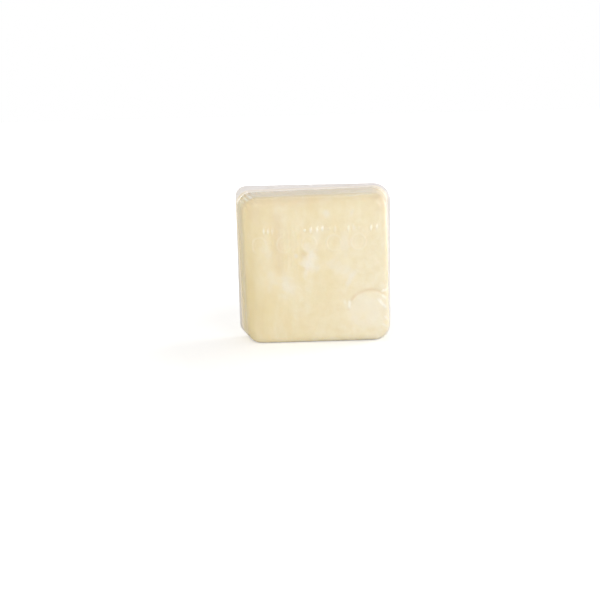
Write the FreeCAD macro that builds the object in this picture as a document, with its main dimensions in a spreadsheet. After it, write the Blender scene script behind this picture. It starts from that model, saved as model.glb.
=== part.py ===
import FreeCAD, Part
import os
import Sketcher
from math import pi
from FreeCAD import Placement, Rotation, Vector

# A square slab of tulum cheese, sealed under vacuum in clear film and standing on one edge.
#
# Such a pack is made on a tray line. A film web is drawn down into a pocket with sloping
# walls and round shoulders, the cheese is laid in, the air is pumped out and a flat lid web
# is welded over it. The film then lies tight on the cheese, so pocket and cheese have one
# outer form. A narrow welded rim stands out all round, with a nick to start the tear.
#
# Frame: millimetres, +Z up, the drawn face looks along -Y, the lid web faces +Y.
# The origin is on the table, under the middle of the pack's box.

# name, value, what it measures (angles are in degrees)
SIZES = [
    ("pocket_wide", 130.4, "drawn pocket across the seam"),
    ("pocket_high", 133.0, "drawn pocket from foot to head at the seam, before it settles"),
    ("pocket_deep", 29.0, "seam plane to the face"),
    ("wall_draft", 4.0, "slope of the pocket's walls at head, foot and right"),
    ("left_draft", 12.0, "slope of the left wall, where the slab is cut aslant"),
    ("shoulder", 8.0, "radius of the round shoulder between walls and face"),
    ("pocket_corner", 13.0, "corner radius of the pocket between its walls"),
    ("pocket_lean", 1.2, "turn of the pocket against the rim, left end down"),
    ("settle", 3.0, "depth of lower wall that the standing slab presses flat"),
    ("web_thick", 0.4, "lid web welded to the rim of the drawn web"),
    ("rim_side", 1.8, "welded rim beside the pocket"),
    ("rim_head", 4.0, "welded rim above the pocket"),
    ("rim_corner_left", 9.0, "corner radius of the rim, upper left"),
    ("rim_corner_right", 15.0, "corner radius of the rim, upper right"),
    ("rim_corner_foot", 9.0, "corner radius of the rim at both lower corners"),
    ("foot_bend", 1.5, "inner radius where the lower rim is bent back"),
    ("foot_flat", 2.5, "stretch of the lower rim that lies flat on the table"),
    ("foot_corner", 2.0, "corner radius at both ends of the flat stretch"),
    ("nick_drop", 13.5, "top of the rim down to the tear nick"),
    ("nick_high", 1.2, "opening of the tear nick at the rim's edge"),
    ("nick_deep", 1.5, "depth of the tear nick into the rim"),
]

# Height of the pocket's middle over the table.
MIDDLE = "(sizes.pocket_high / 2 - sizes.settle)"


def make_sheet(doc):
    """Keep every driving size in one sheet, each cell under its own alias."""
    sheet = doc.addObject("Spreadsheet::Sheet", "sizes")
    for row, (name, value, note) in enumerate(SIZES, start=1):
        sheet.set(f"A{row}", name)
        sheet.set(f"B{row}", str(value))
        sheet.set(f"C{row}", note)
        sheet.setAlias(f"B{row}", name)
    doc.recompute()
    return sheet


def origin_plane(body, role):
    """One of the body's own base planes."""
    return next(item for item in body.Origin.OriginFeatures if item.Role == role)


def plane_sketch(body, name, role, shift=("0 mm", "0 mm", "0 mm"), turn="0 deg"):
    """A sketch on one of the body's own planes, moved and turned in that plane's axes."""
    sketch = body.newObject("Sketcher::SketchObject", name)
    sketch.AttachmentSupport = [(origin_plane(body, role), "")]
    sketch.MapMode = "FlatFace"
    sketch.AttachmentOffset = Placement(Vector(0, 0, 0), Rotation(Vector(0, 0, 1), 0))
    for axis, formula in zip("xyz", shift):
        sketch.setExpression(f".AttachmentOffset.Base.{axis}", formula)
    sketch.setExpression(".AttachmentOffset.Rotation.Angle", turn)
    return sketch


def drive(sketch, kind, *refs, by):
    """Add a constraint of one size and bind it to a formula of the sheet."""
    index = sketch.addConstraint(Sketcher.Constraint(kind, *refs))
    sketch.setExpression(f"Constraints[{index}]", by)


def outline(sketch, left, right, foot, head, corners=()):
    """A rectangle of four lines about the sketch's origin, with round corners if any are given.

    left, right, foot and head are formulas for the distances from the origin to the sides.
    corners holds formulas for the radii: lower right, upper right, upper left, lower left.
    """
    reach = 40.0
    nook = 10.0 if corners else 0.0
    inner = reach - nook
    ends = ((-inner, -reach, inner, -reach), (reach, -inner, reach, inner),
            (inner, reach, -inner, reach), (-reach, inner, -reach, -inner))
    for x0, y0, x1, y1 in ends:
        sketch.addGeometry(Part.LineSegment(Vector(x0, y0, 0), Vector(x1, y1, 0)))
    spots = ((inner, -inner, 1.5 * pi), (inner, inner, 0), (-inner, inner, 0.5 * pi), (-inner, -inner, pi))
    for (x, y, start), radius in zip(spots, corners):
        circle = Part.Circle(Vector(x, y, 0), Vector(0, 0, 1), nook)
        sketch.addGeometry(Part.ArcOfCircle(circle, start, start + 0.5 * pi))
    for side in range(4):
        following = (side + 1) % 4
        if corners:
            arc = 4 + side
            sketch.addConstraint(Sketcher.Constraint("Tangent", side, 2, arc, 1))
            sketch.addConstraint(Sketcher.Constraint("Tangent", arc, 2, following, 1))
            drive(sketch, "Radius", arc, nook, by=corners[side])
        else:
            sketch.addConstraint(Sketcher.Constraint("Coincident", side, 2, following, 1))
    for line, kind in ((0, "Horizontal"), (1, "Vertical"), (2, "Horizontal"), (3, "Vertical")):
        sketch.addConstraint(Sketcher.Constraint(kind, line))
    drive(sketch, "DistanceX", 3, 1, -1, 1, reach, by=left)
    drive(sketch, "DistanceX", -1, 1, 1, 1, reach, by=right)
    drive(sketch, "DistanceY", 0, 1, -1, 1, reach, by=foot)
    drive(sketch, "DistanceY", -1, 1, 2, 1, reach, by=head)


def fill_pocket(doc, body):
    """The cheese-filled pocket, with walls that lean in from the seam to the face.

    A drawn web needs that draft to leave its mould. The slab is cut more aslant on its left,
    and the film has followed it there. The block sits a little askew in the rim.
    """
    pocket = body.newObject("PartDesign::AdditiveWedge", "filled_pocket")
    pocket.Placement = Placement(Vector(0, 0, 0), Rotation(Vector(0, -1, 0), 0))
    formulas = {"Ymin": "-sizes.pocket_deep", "Ymax": "0"}
    walls = (("X", "min", "-1", "wide", "left_draft"), ("X", "max", "1", "wide", "wall_draft"),
             ("Z", "min", "-1", "high", "wall_draft"), ("Z", "max", "1", "high", "wall_draft"))
    for axis, end, sign, span, draft in walls:
        inset = f"sizes.pocket_deep * tan(sizes.{draft} * 1 deg)"
        formulas[f"{axis}{end}"] = f"{sign} * (sizes.pocket_{span} / 2 - {inset})"
        formulas[f"{axis}2{end}"] = f"{sign} * sizes.pocket_{span} / 2"
    for size, formula in formulas.items():
        pocket.setExpression(size, f"({formula}) * 1 mm")
    pocket.setExpression(".Placement.Base.z", f"{MIDDLE} * 1 mm")
    pocket.setExpression(".Placement.Rotation.Angle", "sizes.pocket_lean * 1 deg")
    doc.recompute()
    return pocket


def round_corners(doc, body):
    """Round the pocket's four corners, along the slanting edges between its walls."""
    before = body.Tip
    slants = [f"Edge{number}" for number, edge in enumerate(before.Shape.Edges, start=1)
              if abs(edge.tangentAt(edge.FirstParameter).y) > 0.5]
    rounding = body.newObject("PartDesign::Fillet", "pocket_corners")
    rounding.Base = (before, slants)
    rounding.setExpression("Radius", "sizes.pocket_corner * 1 mm")
    doc.recompute()
    return rounding


def round_shoulders(doc, body):
    """Round the edges where the face meets the drafted walls and the corners."""
    before = body.Tip
    deep = doc.sizes.pocket_deep
    edges = [f"Edge{number}" for number, edge in enumerate(before.Shape.Edges, start=1)
             if edge.CenterOfMass.y < 0.01 - deep]
    rounding = body.newObject("PartDesign::Fillet", "shoulders")
    rounding.Base = (before, edges)
    rounding.setExpression("Radius", "sizes.shoulder * 1 mm")
    doc.recompute()
    return rounding


def press_base_flat(doc, body):
    """Take off what lies under the table: there the soft slab has pressed itself flat."""
    sketch = plane_sketch(body, "table", "XY_Plane")
    half = "sizes.pocket_wide / 2 + sizes.pocket_deep"
    outline(sketch, half, half, half, half)
    cut = body.newObject("PartDesign::Pocket", "pressed_base")
    cut.Profile = sketch
    cut.Type = "ThroughAll"
    doc.recompute()
    return cut


def weld_lid(doc, body):
    """The flat lid web behind the pocket, with the rim that stands out round it."""
    sketch = plane_sketch(body, "lid_outline", "XZ_Plane", ("0 mm", "0 mm", "-sizes.web_thick * 1 mm"))
    half = "sizes.pocket_wide / 2 + sizes.rim_side"
    foot = "-(sizes.web_thick + sizes.foot_bend)"
    head = "sizes.pocket_high - sizes.settle + sizes.rim_head"
    outline(sketch, half, half, foot, head,
            ["sizes.rim_corner_foot", "sizes.rim_corner_right",
             "sizes.rim_corner_left", "sizes.rim_corner_foot"])
    lid = body.newObject("PartDesign::Pad", "lid_web")
    lid.Profile = sketch
    lid.setExpression("Length", "sizes.web_thick * 1 mm")
    doc.recompute()
    return lid


def bend_foot(doc, body):
    """The rim below the pocket, bent back under the slab's weight to lie on the table.

    Its section is the web's thickness carried round a quarter turn and on along the table.
    """
    sketch = plane_sketch(body, "foot_section", "YZ_Plane")
    thick, bend, flat = 1.0, 3.0, 5.0
    hub = Vector(thick + bend, thick + bend, 0)
    toe = thick + bend + flat
    up = Vector(0, 0, 1)
    for radius in (thick + bend, bend):
        sketch.addGeometry(Part.ArcOfCircle(Part.Circle(hub, up, radius), pi, 1.5 * pi))
    corners = (((0, hub.y), (thick, hub.y)), ((hub.x, 0), (toe, 0)),
               ((toe, 0), (toe, thick)), ((toe, thick), (hub.x, thick)))
    for (x0, y0), (x1, y1) in corners:
        sketch.addGeometry(Part.LineSegment(Vector(x0, y0, 0), Vector(x1, y1, 0)))
    root, under, end, top = 2, 3, 4, 5
    for first, its_end, second, second_end in ((0, 1, root, 1), (1, 1, root, 2), (0, 2, under, 1),
                                               (under, 2, end, 1), (end, 2, top, 1), (1, 2, top, 2)):
        sketch.addConstraint(Sketcher.Constraint("Coincident", first, its_end, second, second_end))
    sketch.addConstraint(Sketcher.Constraint("Coincident", 0, 3, 1, 3))
    for line, kind in ((root, "Horizontal"), (under, "Horizontal"), (end, "Vertical"), (top, "Horizontal")):
        sketch.addConstraint(Sketcher.Constraint(kind, line))
    for bend_arc in (0, 1):
        sketch.addConstraint(Sketcher.Constraint("Vertical", 0, 3, bend_arc, 2))
    sketch.addConstraint(Sketcher.Constraint("PointOnObject", 0, 1, -2))
    sketch.addConstraint(Sketcher.Constraint("PointOnObject", 0, 2, -1))
    sketch.addConstraint(Sketcher.Constraint("Horizontal", 0, 3, 0, 1))
    drive(sketch, "Radius", 1, bend, by="sizes.foot_bend")
    drive(sketch, "Radius", 0, thick + bend, by="sizes.foot_bend + sizes.web_thick")
    drive(sketch, "DistanceX", under, 1, under, 2, flat, by="sizes.foot_flat")
    foot = body.newObject("PartDesign::Pad", "foot_strip")
    foot.Profile = sketch
    foot.Midplane = True
    between_corners = "(sizes.pocket_wide + 2 * sizes.rim_side - 2 * sizes.rim_corner_foot)"
    foot.setExpression("Length", f"{between_corners} * 1 mm")
    doc.recompute()
    return foot


def round_foot(doc, body):
    """Round the two free corners of the strip on the table."""
    before = body.Tip
    thick = doc.sizes.web_thick
    toe = thick + doc.sizes.foot_bend + doc.sizes.foot_flat
    corners = [f"Edge{number}" for number, edge in enumerate(before.Shape.Edges, start=1)
               if abs(edge.CenterOfMass.y - toe) < thick / 2 and edge.Length < 2 * thick]
    rounding = body.newObject("PartDesign::Fillet", "foot_corners")
    rounding.Base = (before, corners)
    rounding.setExpression("Radius", "sizes.foot_corner * 1 mm")
    doc.recompute()
    return rounding


def nick_rim(doc, body):
    """A tapered tear nick in the rim's left edge, a little below the upper corner."""
    sketch = plane_sketch(body, "nick_outline", "XZ_Plane")
    edge, tip, gap = 10.0, 4.0, 3.0
    points = ((-edge, gap), (-edge, -gap), (-tip, 0))
    for (x0, y0), (x1, y1) in zip(points, points[1:] + points[:1]):
        sketch.addGeometry(Part.LineSegment(Vector(x0, y0, 0), Vector(x1, y1, 0)))
    for line in range(3):
        sketch.addConstraint(Sketcher.Constraint("Coincident", line, 2, (line + 1) % 3, 1))
    sketch.addConstraint(Sketcher.Constraint("Vertical", 0))
    drive(sketch, "DistanceX", 0, 1, -1, 1, edge, by="sizes.pocket_wide / 2 + sizes.rim_side")
    drive(sketch, "DistanceY", 0, 2, 0, 1, gap, by="sizes.nick_high")
    drive(sketch, "DistanceX", 0, 1, 1, 2, edge - tip, by="sizes.nick_deep")
    drive(sketch, "DistanceY", 1, 2, 0, 1, gap, by="sizes.nick_high / 2")
    top = "sizes.pocket_high - sizes.settle + sizes.rim_head - sizes.nick_drop"
    drive(sketch, "DistanceY", -1, 1, 1, 2, gap, by=top)
    nick = body.newObject("PartDesign::Pocket", "tear_nick")
    nick.Profile = sketch
    nick.Type = "ThroughAll"
    nick.Midplane = True
    doc.recompute()
    return nick


def make_pack(doc):
    """The whole sealed pack as one solid, centred over the table."""
    body = doc.addObject("PartDesign::Body", "sealed_cheese")
    body.Label = "sealed_cheese"
    for step in (fill_pocket, round_corners, round_shoulders, press_base_flat,
                 weld_lid, bend_foot, round_foot, nick_rim):
        feature = step(doc, body)
        print(f"{feature.Label}: {feature.Shape.Volume / 1000:.2f} cm3")
    behind = "(sizes.web_thick + sizes.foot_bend + sizes.foot_flat)"
    body.setExpression(".Placement.Base.y", f"(sizes.pocket_deep - {behind}) / 2 * 1 mm")
    doc.recompute()
    return body


def check(doc, parts):
    """Stop on any failed feature and on any part that isn't one sound solid."""
    for item in doc.Objects:
        if {"Invalid", "Error"} & set(item.State):
            raise RuntimeError(f"{item.Label} failed: {item.State}")
    for part in parts:
        shape = part.Shape
        if shape.isNull() or not shape.isValid() or len(shape.Solids) != 1:
            raise RuntimeError(f"{part.Label} is not one valid solid")


def main():
    doc = FreeCAD.newDocument("tulum_cheese")
    make_sheet(doc)
    parts = [make_pack(doc)]
    doc.recompute()
    check(doc, parts)
    os.makedirs("parts", exist_ok=True)
    for part in parts:
        part.Shape.exportStep(f"parts/{part.Label}.step")
        box = part.Shape.optimalBoundingBox()
        print(f"{part.Label}: {box.XLength:.1f} x {box.YLength:.1f} x {box.ZLength:.1f} mm, "
              f"{part.Shape.Volume / 1000:.1f} cm3")


main()
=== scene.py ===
# %% [markdown]
# # Tulum cheese in a clear vacuum pack
# A pale slab of tulum cheese stands on one of its edges, sealed in clear film. The packer
# draws one clear web down into a square pocket, lays the slab in it, covers the back with a
# second, flat web, sucks the air out and welds the two webs together all round.
# So there are three things to make: the slab, the drawn film and the lid web.
# The CAD model has one solid for the whole pack. These three pieces take its place, and
# every position below comes from that solid's box.

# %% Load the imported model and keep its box
import math
from types import SimpleNamespace

import bpy
import numpy as np
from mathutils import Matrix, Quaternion, Vector


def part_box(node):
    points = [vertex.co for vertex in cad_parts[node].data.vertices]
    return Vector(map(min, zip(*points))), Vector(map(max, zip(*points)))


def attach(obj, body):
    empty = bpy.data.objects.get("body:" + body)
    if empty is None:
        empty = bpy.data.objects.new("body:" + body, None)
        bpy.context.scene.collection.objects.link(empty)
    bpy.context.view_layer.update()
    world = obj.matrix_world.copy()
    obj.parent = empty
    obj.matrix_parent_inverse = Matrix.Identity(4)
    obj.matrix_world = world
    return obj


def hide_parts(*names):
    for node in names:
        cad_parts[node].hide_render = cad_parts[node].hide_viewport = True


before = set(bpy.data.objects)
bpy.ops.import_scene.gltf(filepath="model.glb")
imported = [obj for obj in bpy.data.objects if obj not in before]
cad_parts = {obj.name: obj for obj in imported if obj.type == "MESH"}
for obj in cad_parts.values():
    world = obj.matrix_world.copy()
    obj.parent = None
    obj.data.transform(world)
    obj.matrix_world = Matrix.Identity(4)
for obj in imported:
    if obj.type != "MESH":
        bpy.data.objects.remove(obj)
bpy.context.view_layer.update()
low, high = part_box("sealed_cheese")
print("pack, mm:", [round((b - a) * 1000, 1) for a, b in zip(low, high)])

# %% [markdown]
# ## The sizes of the pocket
# The pocket was drawn with sloping walls, so that the tool could leave it, and with one
# round shoulder where the walls meet the face. The slab is cut aslant on its left, has
# sagged a little to that side, and its weight has pressed the lower wall flat.
# The numbers could stand wherever they are needed, but a size that is named once is changed
# once. Work in millimetres, because they are easy to check against a ruler, and turn them
# into metres only when a mesh is made.

# %% Sizes of the pocket and the rim, in millimetres
MM = 0.001
POCKET_WIDE, POCKET_HIGH, POCKET_DEEP = 130.4, 133.0, 29.0
WALL_DRAFT, LEFT_DRAFT = math.radians(4), math.radians(12)
SHOULDER, POCKET_CORNER = 8.0, 13.0
POCKET_LEAN = math.radians(1.2)
SETTLE = 3.0
FILM, LID = 0.12, 0.4
FOOT_BEND = 1.5
RIM_CORNERS = dict(top_left=9.0, top_right=15.0, foot_left=9.0, foot_right=9.0)

face_y = low.y / MM
seam_y = face_y + POCKET_DEEP
toe_y = high.y / MM
rim_half = (high.x - low.x) / MM / 2
rim_head = high.z / MM
rim_foot = LID + FOOT_BEND
middle_z = POCKET_HIGH / 2 - SETTLE
print("face at", round(face_y, 1), "seam at", round(seam_y, 1), "toe at", round(toe_y, 1))

# %% [markdown]
# ## One outline for everything
# Seen from the front, the face, the shoulder, the walls, the weld and the rim are all
# rounded rectangles of different size. A circle of points shared evenly between the four
# sides can be laid on any of them. Then point 40 of one outline is always the neighbour
# of point 40 of the next, and the rings join into clean quads with no pinched corners.

# %% Lay points of a unit square on a rounded rectangle
def by_corner(across, up, top_left, top_right, foot_left, foot_right):
    """The corner radius that belongs to each point of the square."""
    top = np.where(across < 0, top_left, top_right)
    foot = np.where(across < 0, foot_left, foot_right)
    return np.where(up > 0, top, foot)


def rounded(across, up, half_wide, half_high, corner):
    """x and z, on a rounded rectangle, of points on the border of the unit square."""
    flat = np.abs(up) >= np.abs(across)
    share = np.where(flat, across, up)
    run_half = np.where(flat, half_wide, half_high)
    out_half = np.where(flat, half_high, half_wide)
    straight = run_half - corner
    travel = np.abs(share) * (straight + corner * math.pi / 4)
    turn = np.clip((travel - straight) / np.maximum(corner, 1e-6), 0, math.pi / 4)
    run = np.where(travel < straight, travel, straight + corner * np.sin(turn)) * np.sign(share)
    out = out_half - corner * (1 - np.cos(turn))
    x = np.where(flat, run, out * np.sign(across))
    z = np.where(flat, out * np.sign(up), run)
    return x, z


def border(steps):
    """The border of the unit square, anticlockwise from the lower left corner."""
    go = np.linspace(-1, 1, steps + 1)[:-1]
    one = np.ones(steps)
    across = np.concatenate([go, one, -go, -one])
    up = np.concatenate([-one, go, one, -go])
    return across, up


x, z = rounded(*border(4), POCKET_WIDE / 2, POCKET_HIGH / 2, POCKET_CORNER)
print("the outline's corner points:", np.round(np.stack([x, z], axis=1)[::4]).tolist())

# %% [markdown]
# ## The profile of the pocket
# Cut through the pocket from the face to the seam, and the cut shows a quarter turn of
# the shoulder and then the straight wall. Each step along that line is one ring of points.
# Two numbers describe a step: how far inside the seam's outline it is, and how deep.
# The slanting left wall has a profile of its own, with as many steps. A Bevel modifier could
# round the shoulder as well, but it adds points that the folds below know nothing of.

# %% Steps from the face round the shoulder and down the wall
ROUND_STEPS = 15
WALL_RINGS = np.array([0.14, 0.29, 0.44, 0.58, 0.71, 0.82, 0.91, 0.96, 1.0])


def profile(draft):
    """How far in and how deep each ring is, from the edge of the face to the seam."""
    hub_y = face_y + SHOULDER
    hub_in = (seam_y - hub_y) * math.tan(draft) + SHOULDER / math.cos(draft)
    turn = np.linspace(math.pi / 2, draft, ROUND_STEPS + 1)
    inset = hub_in - SHOULDER * np.cos(turn)
    depth = hub_y - SHOULDER * np.sin(turn)
    wall = depth[-1] + (seam_y - depth[-1]) * WALL_RINGS
    return np.append(inset, (seam_y - wall) * math.tan(draft)), np.append(depth, wall)


steep_in, steep_deep = profile(WALL_DRAFT)
aslant_in, aslant_deep = profile(LEFT_DRAFT)


def corner_at(inset):
    """The corner radius shrinks round the shoulder, as it does on any filleted box."""
    return POCKET_CORNER - np.maximum(inset - steep_in[ROUND_STEPS], 0)


print("the face starts", round(steep_in[0], 1), "mm inside the seam, on the left", round(aslant_in[0], 1))

# %% [markdown]
# ## A grid for the face, rings for the rest
# The face carries the marks and the creases, so it gets an even grid of small squares.
# The grid is bent so that its outer row is already the rounded outline: each square ring
# of the grid becomes a rounded ring, and only the outermost ones are really round.
# From there the rings go on over the shoulder and down the walls. A cube that is subdivided
# and rounded would be quicker, but it has no room for fine marks, or wastes points elsewhere.

# %% Make the points and the faces of a skin
def columns(*arrays):
    """Several arrays, side by side as the columns of one."""
    return np.stack(arrays, axis=1)


def face_grid(steps):
    """Ring size and border point of each point in an even grid."""
    line = np.linspace(-1, 1, steps + 1)
    across, up = (a.ravel() for a in np.meshgrid(line, line))
    ring = np.maximum(np.abs(across), np.abs(up))
    safe = np.where(ring > 0, ring, 1)
    return ring, np.where(ring > 0, across / safe, 0), np.where(ring > 0, up / safe, -1)


def grid_border(steps):
    """Numbers of the grid's outer points, in the order that border() has."""
    row = steps + 1
    number = np.arange(row * row).reshape(row, row)
    return np.concatenate([number[0, :-1], number[:-1, -1], number[-1, :0:-1], number[:0:-1, 0]])


def grid_quads(steps):
    """The quads of the grid. They look towards -Y, at whoever faces the pack."""
    row = steps + 1
    number = np.arange(row * row).reshape(row, row)
    corners = number[:-1, :-1], number[:-1, 1:], number[1:, 1:], number[1:, :-1]
    return columns(*(c.ravel() for c in corners))


def ring_quads(inner, outer):
    """The quads between two rings of as many points."""
    return columns(inner, outer, np.roll(outer, -1), np.roll(inner, -1))


print("a grid of 4 has", len(grid_quads(4)), "quads and", len(grid_border(4)), "border points")

# %% [markdown]
# ## Soft steps
# Nothing on a soft pack starts or ends at a line. Where one form gives way to another, a soft
# step from 0 to 1 says how much of each there is, and the two are blended by it. A plain
# limit is simpler, but gloss would show it as a hard seam.

# %% Steps up, down, and up and down again
def rise(value, start, end):
    """0 before start, 1 after end, and a soft step between."""
    share = np.clip((value - start) / (end - start), 0, 1)
    return share * share * (3 - 2 * share)


def fall(value, start, end):
    """1 before start, 0 after end, and a soft step between."""
    return 1 - rise(value, start, end)


def hump(value, start, full, wane, end):
    """0 outside start and end, 1 from full to wane, and a soft step on both sides."""
    return rise(value, start, full) * fall(value, wane, end)


def between(first, last, share):
    return first * (1 - share) + last * share


print("a quarter of the way up a soft step:", rise(0.25, 0, 1))

# %% [markdown]
# ## Putting the skin in its place
# The pocket is made upright round the middle of the pack. It is then turned by its small
# lean and lifted to its height, and what would reach below the table is pressed flat.
# A hard cut would leave a knife edge, so the last millimetre bends over softly.

# %% Lean, lift and press a skin on the table
def stand(x, y, z):
    """Points in their place in the pack, before the table presses them."""
    turned = x * math.cos(POCKET_LEAN) - z * math.sin(POCKET_LEAN)
    lifted = x * math.sin(POCKET_LEAN) + z * math.cos(POCKET_LEAN) + middle_z
    return columns(turned, y, lifted)


def press(points, table=0.0, soft=0.5):
    """Bend what reaches below the table up to lie flat on it."""
    over = points[:, 2] - table
    points[:, 2] = table + np.maximum(0.5 * (over + np.sqrt(over**2 + soft**2)) - soft * 0.05, 0)
    return points


foot = stand(np.zeros(1), np.zeros(1), np.full(1, -POCKET_HIGH / 2))
print("the foot would reach", round(foot[0, 2], 1), "mm, and is pressed to", round(press(foot)[0, 2], 2))

# %% [markdown]
# ## One skin, ring by ring
# The face grid comes first, then one ring for each step of the profile. Three sides follow the
# steep profile and the left side the slanting one, and the two left corners blend them. Each
# point keeps its marks: its place on the unit square, its ring and its level. The reliefs
# below need them, because they can't be worked out again from a bent and leaning surface.

# %% Lay the skin
ROUNDING = 1.6  # how late, from the middle outwards, the grid's square rings turn round


def leftness(a, u):
    """1 on the left side, 0 on the others, and a blend through the two left corners."""
    left = np.where(np.abs(a) >= np.abs(u), 1 - 0.5 * rise(np.abs(u), 0.84, 1.0), 0.5 * rise(-a, 0.84, 1.0))
    return np.where(a < 0, left, 0)


def ring_points(a, u, size, less, deep, less_left, deep_left, radius):
    """Points on one ring, or on the whole grid, whose rings all lie at one depth."""
    half_wide = (POCKET_WIDE - less - less_left) / 2
    x, z = rounded(a, u, half_wide * size, (POCKET_HIGH / 2 - less) * size, radius * size**ROUNDING)
    lefty = leftness(a, u)
    return columns(x + (less_left - less) / 2, between(deep, deep_left, lefty), z)


def skin(steps, steep, aslant, corner_of):
    """Points of the face grid and of one ring for each step of the two profiles."""
    ring, across, up = face_grid(steps)
    edge_a, edge_u = border(steps)
    parts, marks = [], []
    for number, (less, deep, less_left, deep_left) in enumerate(zip(*steep, *aslant)):
        a, u, size = (across, up, ring) if number == 0 else (edge_a, edge_u, edge_a * 0 + 1)
        parts.append(ring_points(a, u, size, less, deep, less_left, deep_left, corner_of(a, u, less)))
        marks.append(columns(a, u, size, a * 0 + number))
    return np.concatenate(parts), np.concatenate(marks)


def skin_quads(steps, rings):
    """All quads of such a skin, and the numbers of its last ring."""
    quads = [grid_quads(steps)]
    last = grid_border(steps)
    first = (steps + 1) ** 2
    for number in range(rings):
        here = np.arange(first, first + 4 * steps)
        quads.append(ring_quads(last, here))
        last, first = here, first + 4 * steps
    return np.concatenate(quads), last


STEPS = 156
steep, aslant = (steep_in, steep_deep), (aslant_in, aslant_deep)
shell, where = skin(STEPS, steep, aslant, lambda a, u, less: corner_at(less))
pitch = (POCKET_WIDE - steep_in[0] - aslant_in[0]) / STEPS
print("points in the drawn skin:", len(shell), "one every", round(pitch, 2), "mm on the face")

# %% [markdown]
# ## Seeded unevenness
# Film and cheese are never quite even. A Displace modifier with a cloud texture could bend
# them, but the masks of the materials have to know the same hills. A sum of a few long waves
# in seeded directions gives soft hills of a chosen width, the same on every run.

# %% Soft seeded waves
def waves(places, width, seed, terms=12):
    """Soft hills about `width` across, mostly between -1 and 1."""
    dice = np.random.default_rng(seed)
    way = dice.normal(size=(terms, places.shape[1]))
    way /= np.linalg.norm(way, axis=1, keepdims=True)
    way /= 2 * width * dice.uniform(0.7, 1.5, (terms, 1))
    turn = dice.uniform(0, 2 * math.pi, terms)
    return np.sin(places @ (2 * math.pi * way).T + turn).sum(axis=1) / math.sqrt(terms)


def ridge(distance, width):
    """A soft ridge along a line."""
    return np.exp(-((distance / width) ** 2))


print("waves lie between", np.round(np.percentile(waves(shell, 12, 1), [1, 99]), 2))

# %% [markdown]
# ## The slab: a pressed block with soft edges
# The slab was cut from a pressed wheel and pushed by the film from all sides, so its face is
# nearly flat, its edges are soft, and its surface rolls by a few tenths of a millimetre.
# At the upper left corner the cheese is cut rounder than the pocket, which leaves a small
# empty fold of film there. A box with a Bevel would do for a loose slab, but this one has to
# fit its film to a fraction of a millimetre. So it uses the pocket's own rings, set in a
# little, with a few more to round its back edge and a second grid to close its back.

# %% Shape the slab
ROOM, BACK_ROUND = 0.24, 0.6
slab_back = seam_y - 0.25


def slab_corner(a, u, less):
    return corner_at(less) + by_corner(a, u, top_left=0.8, top_right=0.4, foot_left=0.8, foot_right=1.2)


def slab_rings():
    """The pocket's two profiles, set in a little and rounded over at the back edge."""
    turn = np.linspace(0, math.pi / 2, 5)[1:]
    both = []
    for inset, depth in (steep, aslant):
        inset, depth = inset + ROOM, np.minimum(depth + ROOM * 0.6, slab_back - BACK_ROUND)
        both.append((np.append(inset, inset[-1] + BACK_ROUND * (1 - np.cos(turn))),
                     np.append(depth, depth[-1] + BACK_ROUND * np.sin(turn))))
    return both


def slab_shape(steps=STEPS):
    """The skin over face and walls, and a second grid that closes the back."""
    front, back = slab_rings()
    points, marks = skin(steps, front, back, slab_corner)
    quads, last = skin_quads(steps, len(front[0]) - 1)
    ring, a, u = face_grid(steps)
    closing = ring_points(a, u, ring, front[0][-1], front[1][-1], back[0][-1], back[1][-1],
                          slab_corner(a, u, front[0][-1]))
    first = len(points)
    kept = ring < 1
    number = np.where(kept, np.cumsum(kept) - 1 + first, 0)
    number[grid_border(steps)] = last
    points = np.concatenate([points, closing[kept]])
    marks = np.concatenate([marks, columns(a, u, ring, a * 0 + len(front[0]))[kept]])
    return points, marks, np.concatenate([quads, number[grid_quads(steps)[:, ::-1]]])


slab_points, slab_marks, slab_faces = slab_shape()
print("slab:", len(slab_points), "points,", len(slab_faces), "quads")

# %% [markdown]
# ## What the film does on its way round the slab
# Drawn film is pulled tight over the flats and has too much length in the corners.
# So it lies in fine pleats over the shoulders, radiates folds from the corners, and lifts
# off the cheese in small patches where a little air or whey stayed behind. A cloth simulation
# would find folds by itself, but not these ones, and not the same ones twice. So each is
# a height in millimetres, outwards from the pocket, worked out from where a point lies.
# `run` is the way round the pack, `back` the way from the face's edge towards the seam. On
# the face `back` is below zero, down to about half the face's width.

# %% Where each point of a skin lies
FACE_HALF = 56.0


def around(across, up):
    """How far round the pack each point is, in millimetres, from the lower left corner."""
    flat = np.abs(up) >= np.abs(across)
    lower = flat & (up < 0)
    upper = flat & (up > 0)
    right = ~flat & (across > 0)
    share = np.select([lower, right, upper], [across + 1, up + 3, 5 - across], 7 - up)
    return share * POCKET_WIDE / 2


def places_of(points, marks):
    """Named arrays that the reliefs are worked out from."""
    along = np.append(0, np.cumsum(np.hypot(np.diff(steep_in), np.diff(steep_deep))))
    level = np.clip(marks[:, 3], 0, len(along) - 1).astype(int)
    back = np.where(marks[:, 3] > 0, along[level], (marks[:, 2] - 1) * FACE_HALF)
    stood = stand(*points.T)
    return SimpleNamespace(x=stood[:, 0], y=stood[:, 1], z=stood[:, 2], upright_x=points[:, 0],
                           upright_z=points[:, 2] + middle_z, a=marks[:, 0], u=marks[:, 1],
                           run=around(marks[:, 0], marks[:, 1]), back=back)


def cornerness(p):
    """1 in the four corners of the pack and 0 along the middle of its sides."""
    least = np.minimum(np.abs(p.a), np.abs(p.u))
    return rise(least, 0.72, 0.98)


def upper_corner(p, side):
    """1 in the upper left corner, for a side of -1, or in the upper right one, for 1."""
    return cornerness(p) * (p.u > 0) * (p.a * side > 0)


def near_face(p, reach=0):
    """The points in front, up to `reach` millimetres past the edge of the face."""
    return (p.back < reach) * (p.y < 0)


spot = places_of(shell, where)
print("the wall reaches", round(spot.back.max(), 1), "mm back from the edge of the face")

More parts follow.
